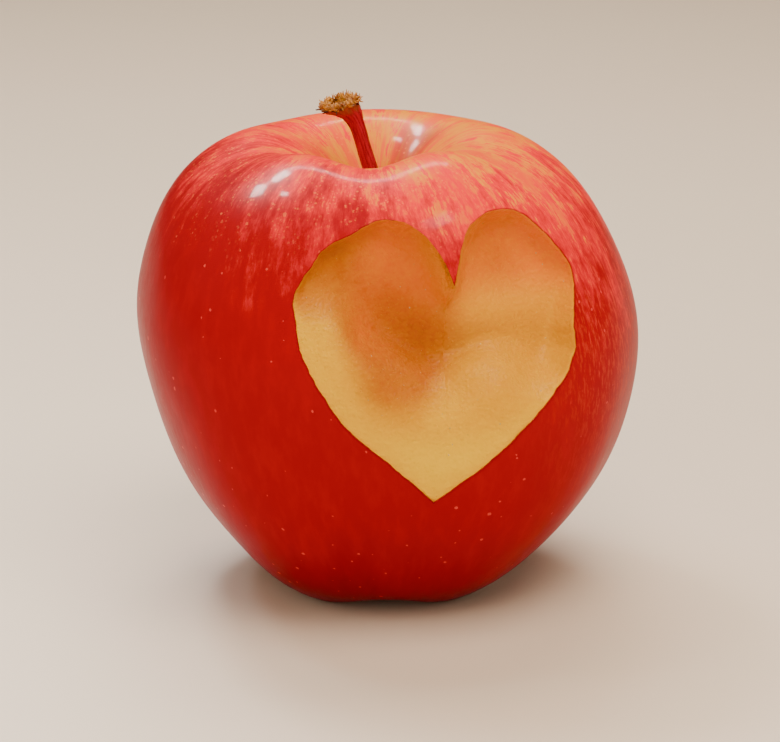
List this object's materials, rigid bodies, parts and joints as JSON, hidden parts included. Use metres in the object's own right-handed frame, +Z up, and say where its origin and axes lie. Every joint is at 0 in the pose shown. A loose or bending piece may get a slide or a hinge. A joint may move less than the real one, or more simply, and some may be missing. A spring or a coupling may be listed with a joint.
{
  "type": "apple with a heart-shaped cut",
  "caption": "Round eating apple standing on its base, with a stem, a dried calyx and a heart cut through the skin into the pale flesh of one side.",
  "frame": {"origin": "on the surface the apple stands on, under the middle of its box", "axes": "+Z up along the core, -Y towards the heart-shaped cut, +X to the right of it"},
  "size_m": [0.0762, 0.0744, 0.076],
  "materials": {
    "skin": "waxy natural apple skin, deep red with golden streaks round the stem hollow",
    "flesh": "moist cut apple flesh, golden yellow",
    "stem": "dry woody stem, dark red brown with a crusty golden tip",
    "calyx": "withered brown sepals"
  },
  "bodies": {
    "root": {"fruit": "skin", "stem": "stem", "calyx": "calyx"}
  },
  "joints": []
}
